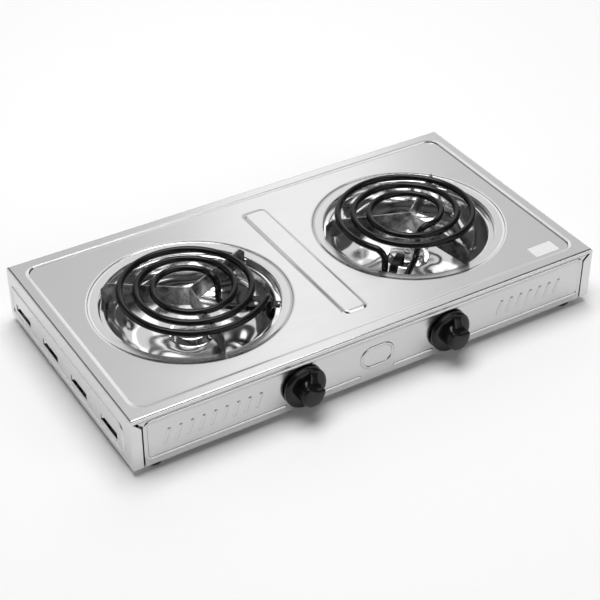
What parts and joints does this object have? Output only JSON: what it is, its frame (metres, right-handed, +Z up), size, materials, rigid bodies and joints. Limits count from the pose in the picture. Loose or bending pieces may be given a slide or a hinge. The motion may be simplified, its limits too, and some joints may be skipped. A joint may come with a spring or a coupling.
{
  "type": "hot plate burner",
  "caption": "Countertop electric hot plate: two coiled elements over polished drip bowls in a pressed stainless body, with front control knobs.",
  "frame": {"origin": "middle of the bounding box's bottom face, on the surface that the feet stand on", "axes": "+X to the right as seen from the front, +Y to the back, +Z up; the knobs face -Y"},
  "size_m": [0.5022, 0.2936, 0.0775],
  "materials": {
    "base_steel": "plain zinc-coated sheet",
    "bowl_chrome": "polished",
    "brass": "plain",
    "ceramic": "glazed ceramic",
    "control_plastic": "dark phenolic",
    "element_black": "black oxide, satin",
    "fastener_steel": "zinc plated",
    "knob_black": "gloss black phenolic",
    "label_paper": "blank film",
    "panel_steel": "fine brushed stainless",
    "rubber": "matt black rubber",
    "shell_steel": "fine brushed stainless, near mirror",
    "spring_steel": "spring steel",
    "support_steel": "plain steel strip",
    "wire_blue": "silicone",
    "wire_brown": "silicone",
    "wire_white": "glass braid"
  },
  "bodies": {
    "housing": {"base_plate": "base_steel", "base_screws": "fastener_steel", "body_shell": "shell_steel", "bowl_screws": "fastener_steel", "bowl_standoff_left": "fastener_steel", "bowl_standoff_right": "fastener_steel", "clamp_rivet_left": "fastener_steel", "clamp_rivet_right": "fastener_steel", "coil_element_left": "element_black", "coil_element_right": "element_black", "control_nut_left": "fastener_steel", "control_nut_right": "fastener_steel", "cord_grommet": "rubber", "drip_bowl_left": "bowl_chrome", "drip_bowl_right": "bowl_chrome", "earth_nut": "brass", "earth_stud": "brass", "element_clamp_left": "element_black", "element_clamp_right": "element_black", "element_pins_left": "fastener_steel", "element_pins_right": "fastener_steel", "element_support_left": "support_steel", "element_support_right": "support_steel", "foot_screws": "fastener_steel", "front_panel": "panel_steel", "live_wires": "wire_brown", "load_wires": "wire_white", "neutral_wires": "wire_blue", "panel_screws": "fastener_steel", "pin_insulators_left": "ceramic", "pin_insulators_right": "ceramic", "plain_label": "label_paper", "rear_panel": "panel_steel", "rotary_control_left": "control_plastic", "rotary_control_right": "control_plastic", "rubber_foot_front_left": "rubber", "rubber_foot_front_right": "rubber", "rubber_foot_rear_left": "rubber", "rubber_foot_rear_right": "rubber", "terminal_block": "ceramic", "terminal_screws": "brass"},
    "left_dial": {"control_shaft_left": "fastener_steel", "knob_left": "knob_black", "knob_spring_left": "spring_steel"},
    "right_dial": {"control_shaft_right": "fastener_steel", "knob_right": "knob_black", "knob_spring_right": "spring_steel"}
  },
  "joints": [
    {"name": "left_dial_turn", "type": "hinge", "parent": "housing", "child": "left_dial", "pos_m": [-0.0795, -0.12225, 0.031], "axis": [0, 1, 0], "range_deg": [-23, 277]},
    {"name": "right_dial_turn", "type": "hinge", "parent": "housing", "child": "right_dial", "pos_m": [0.0795, -0.12225, 0.031], "axis": [0, 1, 0], "range_deg": [-14, 286]}
  ]
}
